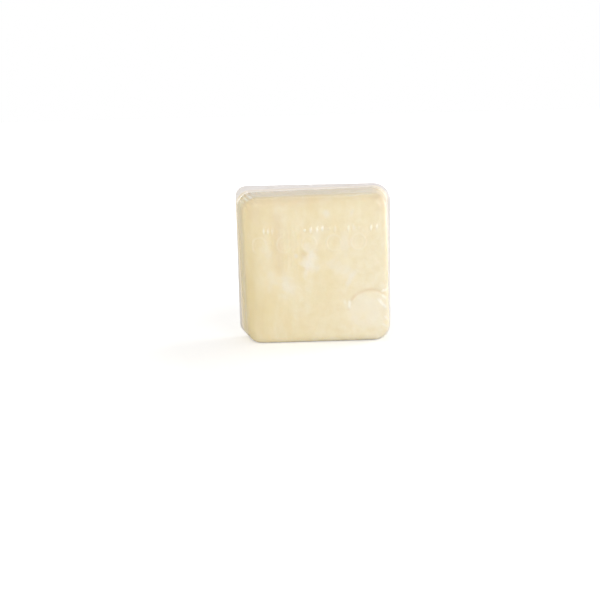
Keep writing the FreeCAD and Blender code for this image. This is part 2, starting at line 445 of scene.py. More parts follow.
# %% [markdown]
# ## Single folds
# A single crease in film is a short soft ridge with pointed ends. A thin curve laid on the film
# could stand for it, but would catch the light as a thread does. So it is part of the
# height: the distance from a line between two points, fading towards both. The points are
# given on the face in x and z, or on the walls by `run` and `back`.

# %% A fold between two points
def fold(p, from_a, from_b, to_a, to_b, width=1.2, axes=("x", "z")):
    """1 on the middle of the line between the two points, 0 away from it."""
    long = math.hypot(to_a - from_a, to_b - from_b)
    ua, ub = (to_a - from_a) / long, (to_b - from_b) / long
    da, db = getattr(p, axes[0]) - from_a, getattr(p, axes[1]) - from_b
    along = (da * ua + db * ub) / long
    beside = -da * ub + db * ua
    return hump(along, -0.05, 0.35, 0.65, 1.05) * ridge(beside, width) * (p.y < seam_y - 1)


def folds(p, table, **how):
    """The folds of a table, whose rows hold a height and then both ends."""
    return sum(high * fold(p, *ends, **how) for high, *ends in table)


print("a fold covers", int((fold(spot, 0, 60, 10, 60) > 0.5).sum()), "points")

# %% [markdown]
# ## Pleats and folds
# The pleats are ridges that run from the rim towards the face, closer together and higher
# in the corners. They die out a centimetre inside the edge of the face. There are hundreds,
# too many to place, so they are waves on places that are squeezed together along the pleats.

# %% Fine pleats over the shoulders, and folds in the corners
FINE_PLEAT, BROAD_PLEAT, FOLD_HIGH, WRINKLE_HIGH = 0.05, 0.07, 0.22, 0.10  # millimetres


def pleats(p):
    across = columns(p.run, p.back * 0.18)
    fine = waves(across, 2.6, 21) * FINE_PLEAT + waves(across, 5.5, 22) * BROAD_PLEAT
    held = rise(p.back, -9, 5) * (0.35 + 0.65 * rise(p.back, 8, 26))
    return held * fine * (0.55 + 1.3 * cornerness(p))


def corner_folds(p):
    """Sharp folds that fan out from each corner of the rim over the shoulder."""
    fan = columns(p.run + 0.12 * p.back, p.back * 0.05)
    sharp = np.clip(1 - np.abs(waves(fan, 2.6, 23)) * 1.6, 0, 1)
    strength = cornerness(p) * rise(p.back, -1, 7) * (1 + (p.a < 0) * (p.u > 0))
    return FOLD_HIGH * strength * sharp


def long_wrinkles(p):
    """Wrinkles along the upper wall, side by side with the rim."""
    along = columns(p.run * 0.07, p.back)
    held = rise(p.back, 5, 12) * rise(p.u, 0.8, 1.0) * (1 - 0.6 * cornerness(p))
    return held * WRINKLE_HIGH * np.clip(waves(along, 3.0, 24), 0, None)


for name, relief in dict(pleats=pleats, corner_folds=corner_folds, wrinkles=long_wrinkles).items():
    print(name, "from", round(relief(spot).min(), 2), "to", round(relief(spot).max(), 2), "mm")

# %% [markdown]
# The seeded folds make the pack look handled, but the ones that the eye goes to are placed one
# by one: the folds where the upper left corner stands empty, and a crease on the upper
# shoulder. Both carry a painted highlight in the slab's colour.

# %% Folds with a place of their own
CORNER_FOLDS = [  # height, then run and back of both ends, at the upper left corner
    (0.55, 386.2, 34, 384.0, 8), (0.50, 389.6, 31, 388.4, 7), (0.32, 381.8, 33, 379.0, 17),
    (0.30, 393.0, 30, 393.4, 14), (0.24, 376.5, 33, 372.0, 22)]
CREASE = dict(high=0.30, back=8.5, sway=0.9, width=1.2)


def drawn_folds(p):
    """The few sharp folds that the upper left corner has."""
    return folds(p, CORNER_FOLDS, width=1.1, axes=("run", "back"))


def top_crease(p):
    """One crease on the upper shoulder, nearer the right end, with a painted highlight along it."""
    line = CREASE["back"] + CREASE["sway"] * np.sin(p.x * 0.16)
    length = hump(p.x, 22, 31, 47, 55) * (p.u > 0.9)
    return CREASE["high"] * length * ridge(p.back - line, CREASE["width"])


print("folds up to", round(drawn_folds(spot).max(), 2), "mm, crease", round(top_crease(spot).max(), 2), "mm")

# %% [markdown]
# ## Pale patches
# Where the curd is dry and open, or a little air stayed behind under the film, the slab looks
# whitish. The patches could be painted on the mesh, but an oval in a table is moved by one
# number. A patch is such an oval with a ragged border. How strong it is says both how far it
# lifts the film and how pale the cheese is below it.

# %% Patches on the face
def oval(p, x, z, half_wide, half_high, turn=0.0):
    """1 in the middle of a ragged oval on the face, 0 outside it."""
    t = math.radians(turn)
    dx, dz = p.x - x, p.z - z
    u = (dx * math.cos(t) + dz * math.sin(t)) / half_wide
    v = (-dx * math.sin(t) + dz * math.cos(t)) / half_high
    seed = int(abs(x) * 7 + z)
    at = columns(dx, dz)
    rag = 0.22 * waves(at, 7, seed) + 0.12 * waves(at, 3, seed + 1)
    return rise(1.3 - np.hypot(u, v) + rag, 0.0, 1.15) * near_face(p, 12)


PATCHES = [  # strength, x, z, half width, half height, turn
    (1.00, -4.0, 71, 7.0, 12, -6), (0.50, -5, 82, 4, 7, 20), (0.75, -24, 51, 9, 10, 12),
    (0.70, -15.5, 77, 2.2, 3.0, 0), (0.50, 20, 66, 13, 6, -20), (0.75, 31, 57, 3, 9, -28),
    (0.60, 10.5, 114, 3, 4.5, 10), (0.60, 32, 113, 2, 3.2, -10), (0.35, 44, 30, 20, 18, 0),
    (0.35, -37, 57, 5, 13, 8), (0.45, 26, 88, 4, 12, 5), (0.40, 2, 95, 3, 9, -4), (0.35, -40, 84, 4, 20, 3)]


def patches(p):
    return np.clip(sum(share * oval(p, *place) for share, *place in PATCHES), 0, 1)


DENT = dict(x=-9.4, z=77.4, half_wide=2.4, half_high=3.6, deep=0.45)


def dent(p):
    """A small dent beside the middle patch, with painted shade in it from the slab's shade mask."""
    place = np.hypot((p.x - DENT["x"]) / DENT["half_wide"], (p.z - DENT["z"]) / DENT["half_high"])
    return -DENT["deep"] * ridge(place, 1.0) * (p.back < 0)


print("share of the face that is pale:", round(float(patches(spot)[where[:, 3] == 0].mean()), 3))

# %% [markdown]
# ## The slack blister in the lower right corner
# There the film stands off the cheese in a round blister. Its border is a soft step with a
# groove along it, deepest on its upper left, and short folds run from it to the edge of the
# pack, bright with the film's gloss and a painted highlight. The height alone isn't enough,
# because the material wants to know what lies inside the blister and where the groove is, which
# gets painted shade. So all three are worked out together.

# %% The blister, its border and its folds
BLISTER = dict(x=47.1, z=28.3, radius=18.0, lift=0.24, groove=0.28)
BLISTER_FOLDS = [  # height, then both ends
    (0.50, 52.5, 39.6, 62.5, 28.6), (0.46, 56.5, 42.4, 62.6, 37.0), (0.42, 55.5, 44.2, 64.5, 46.6),
    (0.46, 29.6, 38.5, 29.2, 29.0), (0.24, 24.5, 38.5, 26.6, 33.5), (0.34, 58.5, 24.0, 64.0, 17.5),
    (0.30, 56.0, 17.0, 62.5, 12.5)]


def blister(p):
    """The height in millimetres, 1 inside the blister, and 1 along its groove."""
    dx, dz = p.x - BLISTER["x"], p.z - BLISTER["z"]
    far, angle = np.hypot(dx, dz), np.degrees(np.arctan2(dz, dx))
    uneven = 0.5 * waves(columns(angle * 0.3, far * 0), 14, 31)
    past = far - uneven - BLISTER["radius"]
    inside = fall(past, -2.4, 0.4)
    groove = ridge(past + 0.1, 1.5) * rise(np.abs(angle - 110), 90, 50)
    height = BLISTER["lift"] * inside - BLISTER["groove"] * groove
    return near_face(p, 14) * np.stack([height, inside, groove])


def blister_folds(p):
    return folds(p, BLISTER_FOLDS) * (p.back < 18)


print("blister up to", round(float((blister(spot)[0] + blister_folds(spot)).max()), 2), "mm proud")

# %% [markdown]
# ## The pressed row
# The mould leaves a row of small marks in the upper part of the face, in a few uneven groups,
# which show through the tight film as faint bright and dark edges: the film's gloss on the
# relief, helped by a painted highlight in the slab's colour. Plain lozenges are pressed here,
# every fourth one a round, with a second row of larger, fainter rings under them. Both rows are
# worn in places, as marks in a soft cheese are. A Boolean could stamp them, with crisp edges that
# a soft cheese can't hold, so they are heights as well.

# %% Pressed lozenges, rounds and rings
MARK_ROW, RING_ROW = 99.4, 87.6
LOZENGE, DROP = (1.5, 4.2), (1.3, 1.5)  # half width and half height
RING_PITCH, RING_OUTER, RING_INNER = 21.0, 6.0, 3.4
MARK_HIGH, RING_HIGH = 0.60, 0.30
MARKS = [-41.5, -38, -34.5, -7, -2, 3.5, 8, 13.5, 18.5, 30, 34, 38.5, 49, 54]


def pressed_marks(p):
    mark = 0 * p.x
    for number, x in enumerate(MARKS):
        dx, dz = np.abs(p.upright_x - x), np.abs(p.upright_z - MARK_ROW - 0.4 * math.sin(x))
        lozenge = fall(dx / LOZENGE[0] + dz / LOZENGE[1], 0.45, 1.1)
        drop = fall(np.hypot(dx / DROP[0], dz / DROP[1]), 0.5, 1.1)
        mark = np.maximum(mark, drop if number % 4 == 3 else lozenge)
    worn = 0.7 + 0.5 * waves(columns(p.x, p.z), 7, 41)
    return MARK_HIGH * mark * np.clip(worn, 0.4, 1) * (p.back < 0)


def pressed_rings(p):
    number = np.round((p.upright_x + 4) / RING_PITCH)
    far = np.hypot(p.upright_x + 4 - number * RING_PITCH, (p.upright_z - RING_ROW) * 0.9)
    ring = ridge(far - RING_OUTER, 0.9) + 0.5 * ridge(far - RING_INNER, 0.8)
    worn = 0.6 + 0.5 * waves(columns(p.x, p.z * 0.5), 12, 42)
    return RING_HIGH * ring * (np.abs(number) <= 2) * np.clip(worn, 0.15, 1) * (p.back < 0)


print("marks up to", round(float(pressed_marks(spot).max()), 2), "mm,",
      "rings up to", round(float(pressed_rings(spot).max()), 2), "mm")

# %% [markdown]
# ## Lines of pull
# Film that is drawn more one way than the other keeps fine lines along the pull. They all run
# one way, so their waves are worked out on places that are squeezed together in height.

# %% Upright lines of pull
PULL_HIGH = 0.11


def pulled_lines(p):
    """Upright lines of pull in the film, left of the middle."""
    bend = p.x + 0.02 * (p.z - 85) ** 2 * 0.12
    fine = waves(columns(bend, p.z * 0.04), 1.9, 43)
    place = hump(p.x, -42, -34, -14, -6) * hump(p.z, 60, 72, 98, 106) * (p.back < 0)
    return PULL_HIGH * fine * place


print("lines of pull up to", round(float(pulled_lines(spot).max()), 2), "mm")

# %% [markdown]
# ## All of the relief together
# Film and cheese could be shaped one by one, and pushed apart where they cross. Here the
# cheese takes the same relief as the film, apart from what stands off it. So the film never
# cuts through the cheese, however the numbers above are changed.

# %% Add the reliefs up for the cheese and for the film
WORN_DEEP = 1.2
ROLL_HIGH, BUMP_HIGH = 0.16, 0.06  # of hills 21 mm across, and of bumps 6 mm across
PATCH_LIFT = 0.12


def worn_left(p):
    """The face falls away gently towards the slanting left side."""
    return -WORN_DEEP * fall(p.x, -62, -42) * (p.y < 0) * fall(p.back, 2, 12)


def cheese_relief(p):
    place = columns(p.x, p.y, p.z)
    rolling = ROLL_HIGH * waves(place, 21, 51) + BUMP_HIGH * waves(place, 6, 52)
    pushed = pressed_marks(p) + pressed_rings(p) + dent(p) + pulled_lines(p) + 0.8 * blister(p)[0]
    return rolling - 0.15 + worn_left(p) + pushed + 0.5 * pleats(p) + 0.5 * blister_folds(p)


def film_relief(p):
    lifted = PATCH_LIFT * patches(p) + 0.2 * blister(p)[0] + 0.5 * blister_folds(p)
    folded = corner_folds(p) + drawn_folds(p) + long_wrinkles(p) + top_crease(p) + 0.5 * pleats(p).clip(0)
    return cheese_relief(p) + lifted + folded


print("film relief, mm:", np.round(np.percentile(film_relief(spot), [0, 50, 100]), 2))

# %% [markdown]
# ## From arrays to a mesh
# One helper turns points and quads into a mesh object and keeps masks such as `loosened` on
# its points, where the material can read them. Another works out the normals along which the
# relief is pushed. Sculpting would be livelier, but a number in an array can be changed later.

# %% Make a mesh object
def make_mesh(name, points, quads, masks=None):
    mesh = bpy.data.meshes.new(name)
    mesh.from_pydata((points * MM).tolist(), [], quads.tolist())
    mesh.validate()
    mesh.update()
    mesh.shade_smooth()
    for mask, values in (masks or {}).items():
        mesh.attributes.new(mask, "FLOAT", "POINT").data.foreach_set("value", values)
    thing = bpy.data.objects.new(name, mesh)
    bpy.context.scene.collection.objects.link(thing)
    return thing


def normals_of(points, quads):
    """The normals of a skin, from the diagonals of its quads."""
    a, b, c, d = (points[quads[:, k]] for k in range(4))
    face = np.cross(c - a, d - b)
    total = np.zeros_like(points)
    for k in range(4):
        np.add.at(total, quads[:, k], face)
    return total / np.maximum(np.linalg.norm(total, axis=1, keepdims=True), 1e-9)


upright_quad = np.array([[0, 0, 0], [1, 0, 0], [1, 0, 1], [0, 0, 1.0]])
print("the normal of an upright quad:", normals_of(upright_quad, np.array([[0, 1, 2, 3]]))[0].tolist())

# %% [markdown]
# ## What shows on the slab
# Four masks say where the slab looks different from the rest. `pale_and_highlit` is dry curd,
# the inside of the blister, and a painted highlight on the raised marks and the blister's folds.
# `misted_and_sheen` is the grey of the wall near the weld: partly cloudy film, partly the film's
# sheen at that grazing angle, painted. `painted_shade_and_streak` is painted shade in the dent,
# along the blister's groove, on the upper edge and in the upper corners, and one darker upright
# streak. `painted_glint` is a painted highlight on the crest of a fold, where the film would
# catch the lamps. All could be painted by hand, but then they'd stay behind when a fold is
# moved. Made from the same reliefs, they follow it.

# %% The slab's four masks
STREAK_X = -30.7


# Pale curd in the patches and inside the blister, and a painted highlight on the raised marks and the
# blister's folds.
def pale_and_highlit(p):
    marks = 1.4 * (pressed_marks(p) + pressed_rings(p)).clip(0)
    return np.clip(patches(p) + marks + 1.4 * blister_folds(p) + 0.3 * blister(p)[1], 0, 1)


# Partly cloudy film, partly a painted sheen: the grey that the film shows on the wall near the weld at a
# grazing angle. It is kept off most of the left side and weakened in the upper corners.
def misted_and_sheen(p):
    wall = 0.55 * rise(p.back, 16, 34) * fall(p.y, slab_back - 0.6, slab_back - 0.1)
    left_clear = 0.9 * rise(leftness(p.a, p.u), 0, 0.45) * (1 - 0.75 * rise(p.z, 70, 112))
    return wall * (1 - left_clear) * (1 - 0.6 * upper_corner(p, -1) - 0.85 * upper_corner(p, 1))


# Painted shade: in the dent, along the blister's groove, on the upper edge and in the upper corners. The
# line at STREAK_X is a darker upright streak.
def painted_shade_and_streak(p):
    edge = 0.5 * ridge(p.back - 4, 5.5) * (1 - 0.7 * rise(p.x, -5, 25))
    edge = (edge + 0.45 * ridge(p.back - 15, 9)) * rise(p.u, 0.9, 1.0)
    corner = 0.5 * upper_corner(p, -1) * ridge(p.back + 2, 6)
    corner = corner + upper_corner(p, 1) * ridge(p.back - 13, 12)
    line = 0.6 * ridge(p.x - STREAK_X, 5) * hump(p.z, 56, 68, 110, 119) * near_face(p)
    return np.clip(0.8 * blister(p)[2] - 2.0 * dent(p) + np.maximum(edge, corner) + line, 0, 1)


# A painted highlight: the slab's colour goes nearly white on the crests of folds, on the crease, the marks
# and the wrinkles along the upper wall.
def painted_glint(p):
    crests = 2.6 * (blister_folds(p) + drawn_folds(p)) + 2.0 * top_crease(p) + pressed_marks(p)
    return np.clip(crests - 0.25, 0, 1) + 1.6 * long_wrinkles(p)


for mask in (pale_and_highlit, misted_and_sheen, painted_shade_and_streak, painted_glint):
    print(mask.__name__, "is strong on", round(100 * float(np.mean(mask(spot) > 0.3)), 1), "% of the points")

# %% [markdown]
# ## The slab itself
# The slab gets its relief, but not near the weld, where its back edge has to stay inside the
# film. Its foot is pressed flat a film's thickness above the table, because the film lies
# between them.

# %% Make the slab
slab_spots = places_of(slab_points, slab_marks)
slab_stood = stand(*slab_points.T)
slab_normals = normals_of(slab_stood, slab_faces)
grip = fall(slab_spots.y, seam_y - 3, seam_y - 1)
push = (cheese_relief(slab_spots) - ROOM * 0.5) * grip
slab_stood = press(slab_stood + slab_normals * push[:, None], table=FILM + 0.1)
slab_masks = {mask.__name__: mask(slab_spots) for mask in (pale_and_highlit, misted_and_sheen, painted_shade_and_streak, painted_glint)}
cheese_block = make_mesh("cheese_block", slab_stood, slab_faces, slab_masks)
print("cheese_block:", len(cheese_block.data.polygons) * 2, "triangles")

# %% [markdown]
# ## The drawn film
# The film is the same skin as the pocket, carried on past the seam into the weld. On three
# sides the weld is a flat rim. Along the foot the rim is folded back under the pack, so
# there it runs backwards on the table. A separate strip could make the rim, but a joint in
# clear film shows. So one number per point, `folded_under`, says which of the two the film
# does, and blends between them beside the lower corners.

# %% The rim's outline, its tear nick and its folded foot
NICK = dict(drop=13.5, deep=1.5, half_high=0.8)
FOOT_HALF = rim_half - RIM_CORNERS["foot_left"]


def rim_outline(a, u):
    corner = by_corner(a, u, **RIM_CORNERS)
    half_high = (rim_head - rim_foot) / 2
    x, z = rounded(a, u, rim_half, half_high, corner)
    z = z + (rim_head + rim_foot) / 2
    left = (a < -0.5) & (np.abs(u) < 0.97)
    nick_z = z[left][np.argmin(np.abs(z[left] - (rim_head - NICK["drop"])))]
    pull = np.clip(1 - np.abs(z - nick_z) / NICK["half_high"], 0, 1) * left
    return x + NICK["deep"] * pull, z


def folded_under(x, u):
    return (u < -0.99) * fall(np.abs(x), FOOT_HALF - 7, FOOT_HALF)


edge_across, edge_up = border(STEPS)
rim_x, rim_z = rim_outline(edge_across, edge_up)
print("rim from", round(rim_x.min(), 1), "to", round(rim_x.max(), 1), "mm, up to", round(rim_z.max(), 1))

# %% [markdown]
# Two webs welded together are stiffer than one, but still thin, so the free rim bends a little.
# It mustn't bend where it is welded, so the bend grows with the way outside the seam.

# %% How far outside the seam, and how the rim bends there
RIM_BEND = 0.32


def outside_seam(x, z):
    """How far outside the pocket's outline a point on the seam plane is, in millimetres."""
    ux = x * math.cos(POCKET_LEAN) + (z - middle_z) * math.sin(POCKET_LEAN)
    uz = -x * math.sin(POCKET_LEAN) + (z - middle_z) * math.cos(POCKET_LEAN)
    qx = np.abs(ux) - (POCKET_WIDE / 2 - POCKET_CORNER)
    qz = np.abs(uz) - (POCKET_HIGH / 2 - POCKET_CORNER)
    corner = np.hypot(np.maximum(qx, 0), np.maximum(qz, 0))
    return corner + np.minimum(np.maximum(qx, qz), 0) - POCKET_CORNER


def rim_wave(x, z):
    """The free rim is not flat: it bends forwards and back a little."""
    place = columns(x, z)
    bend = waves(place, 11, 61) + 0.5 * waves(place, 4, 62)
    return RIM_BEND * bend * rise(outside_seam(x, z), 0.4, 3.5) * rise(z, 6, 16)


print("the rim bends by up to", round(float(np.abs(rim_wave(rim_x, rim_z)).max()), 2), "mm")

# %% [markdown]
# The film can't be drawn into the sharp corner between wall and rim. It bridges it in a small
# hollow curve, half a millimetre deep, before the weld begins.

# %% Carry the film from the seam to the edge of the rim
WELD_RINGS = 6
FILLET = 0.6


def film_rim(seam_ring):
    """Rings from the seam to the rim's edge, flat or folded under."""
    rings = []
    hollow = FILLET * rise(seam_ring[:, 2], 3, 10)
    under = folded_under(rim_x, edge_up)
    for share in np.linspace(0, 1, WELD_RINGS + 1)[1:]:
        flat_x, flat_z = between(seam_ring[:, 0], rim_x, share), between(seam_ring[:, 2], rim_z, share)
        flat_y = seam_y - FILM + rim_wave(flat_x, flat_z) - hollow * (1 - share) ** 3
        under_y, under_z = between(seam_y - FILM, toe_y - 0.15, share), seam_ring[:, 2] * (1 - share)
        rings.append(columns(flat_x, between(flat_y, under_y, under), between(flat_z, under_z, under)))
    return rings


print("the rim has", WELD_RINGS, "rings of", 4 * STEPS, "points")

# %% [markdown]
# Now the film can take its relief. Each point moves out along its own normal, so that a fold
# stands up square on face, shoulder and wall alike. Moving it along Y would only shear the
# folds on the walls. The seam itself stays where it is.

# %% Press the relief into the film
film_quads, film_last = skin_quads(STEPS, len(steep_in) - 1 + WELD_RINGS)
wall_quads = skin_quads(STEPS, len(steep_in) - 1)[0]
film_stood = stand(*shell.T)
film_normals = normals_of(film_stood, wall_quads)
settle = fall(spot.y, seam_y - 2.5, seam_y)
bridge = FILLET * rise(spot.y, seam_y - 2.4, seam_y) * rise(spot.z, 3, 10)
film_stood = press(film_stood + film_normals * (film_relief(spot) * settle + bridge)[:, None])
film_stood[:, 1] = np.minimum(film_stood[:, 1], seam_y - FILM - bridge)
film_points = np.concatenate([film_stood] + film_rim(film_stood[-4 * STEPS:]))
print("drawn film:", len(film_points), "points")

# %% [markdown]
# The film has masks of its own. It whitens where it is `creased`, where it is `loosened` over
# patches and blister, where it is `slack` in the hollow beside the weld, and where it is
# `welded`. `shade_tint` paints shade into the film: it yellows the milk and lowers the gloss
# down the slanting left wall, a little on the rim's left side, and round the upper right
# corner, where the lamps would leave the film too white.

# %% Make the drawn film and give it its thickness
def on_rim(values, first, rest):
    """The masks of the skin, carried on over the rim's first ring and its other ones."""
    return np.concatenate([values, np.full(4 * STEPS, first), np.full((WELD_RINGS - 1) * 4 * STEPS, rest)])


creased = np.clip(corner_folds(spot) + 0.4 * np.abs(pleats(spot)) + 3.0 * drawn_folds(spot)
                  + 1.5 * long_wrinkles(spot) + 2.0 * top_crease(spot), 0, 1)
loosened = np.clip(2.0 * blister_folds(spot) + patches(spot), 0, 1)
slack = rise(spot.back, 30.5, 33)
# Painted shade in the film's colour, down the left wall and round the upper right corner.
shade_tint = np.maximum(rise(leftness(spot.a, spot.u), 0, 0.45),
                     0.85 * upper_corner(spot, 1) * rise(spot.back, 3, 9))
shade_tint_rim = np.tile(0.2 * leftness(edge_across, edge_up), WELD_RINGS)
film_masks = dict(loosened=on_rim(loosened, 0, 0), creased=on_rim(creased, 0, 0),
                  shade_tint=np.concatenate([shade_tint, shade_tint_rim]),
                  slack=on_rim(slack, 1.0, 0.3), welded=on_rim(0 * slack, 0.3, 1.0))


def thicken(thing, thick):
    """Give a skin its thickness, inwards."""
    solid = thing.modifiers.new("thickness", "SOLIDIFY")
    solid.thickness = thick * MM
    solid.offset = -1
    solid.use_even_offset = False


drawn_film = make_mesh("drawn_film", film_points, film_quads, film_masks)
thicken(drawn_film, FILM)
print("drawn_film:", 4 * len(film_quads) + 4 * len(film_last), "triangles with both sides")

# %% [markdown]
# ## The lid web
# The lid is a stiffer web, flat over the back. It is welded to the drawn film all round,
# dips a little where the slab's soft back edge leaves room, and follows the fold under
# the foot: down the back, round a small bend, and out over the table. A plane would do, if
# it weren't for that bend. Its edge has the drawn film's outline, so that the two end as one.

# %% The path of the lid's foot and the points of the lid
LID_STEPS = 110
BEND_RINGS = 12
LID_FLAT = dict(side=4.5, head=4.0, foot=3.0, corner=13.0)


def foot_path(share, start_z):
    """y and z on the lid's outer side, down the back, round the bend and along the table."""
    down, bend = start_z - rim_foot, math.pi / 2 * FOOT_BEND
    flat = toe_y - (seam_y + LID + FOOT_BEND)
    travel = share * (down + bend + flat)
    angle = np.clip((travel - down) / FOOT_BEND, 0, math.pi / 2)
    y = seam_y + LID + FOOT_BEND * (1 - np.cos(angle)) + np.clip(travel - down - bend, 0, None)
    z = np.where(travel < down, start_z - travel, rim_foot - FOOT_BEND * np.sin(angle))
    return y, z + FILM * rise(share, 0.3, 0.8)


def lid_points():
    ring, a, u = face_grid(LID_STEPS)
    half_wide, half_high = rim_half - LID_FLAT["side"], (rim_head - LID_FLAT["head"] - LID_FLAT["foot"]) / 2
    x, z = rounded(a, u, half_wide * ring, half_high * ring, LID_FLAT["corner"] * ring**ROUNDING)
    points = [columns(x, np.full(len(x), seam_y + LID), z + half_high + LID_FLAT["foot"])]
    edge_a, edge_u = border(LID_STEPS)
    start = points[0][grid_border(LID_STEPS)]
    out_x, out_z = rim_outline(edge_a, edge_u)
    under = folded_under(out_x, edge_u)
    for share in np.linspace(0, 1, BEND_RINGS + 1)[1:]:
        x, flat_z = between(start[:, 0], out_x, share), between(start[:, 2], out_z, share)
        under_y, under_z = foot_path(np.full(len(x), share), start[:, 2])
        points.append(columns(x, between(seam_y + LID, under_y, under), between(flat_z, under_z, under)))
    return np.concatenate(points)


lid = lid_points()
print("lid:", len(lid), "points, from", round(lid[:, 2].min(), 1), "to", round(lid[:, 2].max(), 1), "mm")

# %% [markdown]
# The vacuum sucks the lid down into the small gap beside the slab's soft back edge. Over the
# slab itself it follows the cheese, and outside the seam it bends with the rim. Its masks are
# those of the film, because both webs share one way of making their material.

# %% Sink the lid and make it
SUNK_DEEP, LID_ROLL, LID_LINES = 0.30, 0.09, 0.05
flat_part = fall(lid[:, 1], seam_y + LID, seam_y + LID + 0.4)
outside = outside_seam(lid[:, 0], lid[:, 2])
clung = fall(outside, -3, -0.5)
sunk = -SUNK_DEEP * ridge(outside + 1.9, 1.3) + LID_ROLL * clung * waves(lid[:, [0, 2]], 16, 71)
sunk = sunk + LID_LINES * clung * waves(lid[:, [0, 2]] * [1, 0.35], 4, 72)
lid[:, 1] += flat_part * (sunk.clip(-0.22, 0.3) + rim_wave(lid[:, 0], lid[:, 2]))
lid_quads, lid_last = skin_quads(LID_STEPS, BEND_RINGS)
lid_masks = dict(welded=rise(outside, 0.0, 1.0), slack=0.5 * ridge(outside, 1.0),
                 loosened=0.5 * ridge(outside + 1.6, 1.4),
                 creased=0.25 * clung * np.abs(waves(lid[:, [0, 2]], 9, 73)))
lid_web = make_mesh("lid_web", lid, lid_quads[:, ::-1], lid_masks)
thicken(lid_web, LID)
print("lid_web:", 4 * len(lid_quads) + 4 * len(lid_last), "triangles with both sides")

# %% [markdown]
# ## Nodes, quickly
# A material is a small net of nodes. It can be drawn in the shader editor, but a script can be
# read and run again. One helper adds a node, sets its values, and links any socket it is
# handed, or the first output of any node, so that a material reads as a list of what it is
# made of.

# %% Helpers for nodes
def node(tree, kind, inputs=None, **settings):
    made = tree.nodes.new("ShaderNode" + kind)
    for key, value in settings.items():
        setattr(made, key, value)
    for key, value in (inputs or {}).items():
        if isinstance(value, bpy.types.Node):
            value = value.outputs[0]
        if isinstance(value, bpy.types.NodeSocket):
            tree.links.new(value, made.inputs[key])
        else:
            made.inputs[key].default_value = value
    return made


def maths(tree, operation, first, second=0.0, clamp=False):
    made = node(tree, "Math", {0: first, 1: second}, operation=operation, use_clamp=clamp)
    return made.outputs[0]


def times(tree, first, *others):
    for other in others:
        first = maths(tree, "MULTIPLY", first, other)
    return first


def plus(tree, first, *others):
    for other in others:
        first = maths(tree, "ADD", first, other)
    return first


def ramp(tree, value, start, end, first=0.0, last=1.0):
    """`first` before the start, `last` after the end, and a straight slope between."""
    return node(tree, "MapRange", {"Value": value, "From Min": start, "From Max": end,
                                   "To Min": first, "To Max": last}).outputs[0]


print("helpers for nodes are ready: node, maths, times, plus and ramp")

# %% [markdown]
# A colour in a material is linear, but a paint chart's isn't. One helper turns the one into
# the other. Others read a mask from the points and start an empty material or group.

# %% Helpers for colours, masks, materials and groups
def colour(red, green, blue):
    """A colour as a paint chart gives it, 0 to 255, for a node's linear socket."""
    return tuple((c / 255 / 12.92) if c <= 10 else ((c / 255 + 0.055) / 1.055) ** 2.4
                 for c in (red, green, blue)) + (1.0,)


def mix_colours(tree, share, first, second):
    return node(tree, "Mix", {0: share, 6: first, 7: second}, data_type="RGBA").outputs[2]


def mask_of(tree, name):
    """A mask that make_mesh() kept on the points."""
    return node(tree, "Attribute", attribute_name=name).outputs["Fac"]


def new_material(name):
    material = bpy.data.materials.new(name)
    material.use_nodes = True
    material.node_tree.nodes.clear()
    return material, material.node_tree


def new_group(name, starts, results):
    """An empty group with named numbers to go in, and others to come out."""
    group = bpy.data.node_groups.new(name, "ShaderNodeTree")
    for socket, start in starts.items():
        made = group.interface.new_socket(socket, in_out="INPUT", socket_type="NodeSocketFloat")
        made.default_value = start
    for socket in results:
        group.interface.new_socket(socket, in_out="OUTPUT", socket_type="NodeSocketFloat")
    return group, group.nodes.new("NodeGroupInput").outputs, group.nodes.new("NodeGroupOutput").inputs


print("fresh cheese, linear:", [round(c, 3) for c in colour(242, 229, 193)[:3]])

# %% [markdown]
# ## Mottling, shared by cheese and film
# Both the cheese and the bloom on the film vary in soft clouds. That is one effect with
# different sizes, so it is a node group with named inputs, built once. `Size` is in metres,
# and an `Upright` below 1 draws the clouds out into upright streaks.

# %% The mottling group
def mottling_group():
    starts = dict(Size=0.02, Contrast=1.0, Seed=0.0, Upright=1.0)
    group, given, result = new_group("mottling", starts, ["Mask"])
    shape = node(group, "CombineXYZ", {"X": 1.0, "Y": 1.0, "Z": given["Upright"]})
    place = node(group, "VectorMath", {0: node(group, "TexCoord").outputs["Object"], 1: shape},
                 operation="MULTIPLY")
    cloud = node(group, "TexNoise", {
        "Vector": place, "W": given["Seed"], "Scale": maths(group, "DIVIDE", 1.0, given["Size"]),
        "Detail": 3.0, "Roughness": 0.55}, noise_dimensions="4D").outputs["Fac"]
    spread = times(group, maths(group, "SUBTRACT", cloud, 0.5), given["Contrast"])
    group.links.new(maths(group, "ADD", spread, 0.5, clamp=True), result["Mask"])
    return group


def mottle(tree, size, contrast, seed, upright=1.0):
    given = dict(Size=size, Contrast=contrast, Seed=seed, Upright=upright)
    return node(tree, "Group", given, node_tree=mottling).outputs["Mask"]


mottling = mottling_group()
print("group:", mottling.name, [s.name for s in mottling.interface.items_tree])

# %% [markdown]
# ## Crinkle, shared by both webs
# Between the modelled folds, thin film is covered in hair-fine crinkles and scuffs. They are
# far too small for the mesh, so they are a height for the Bump node and a rise in roughness.

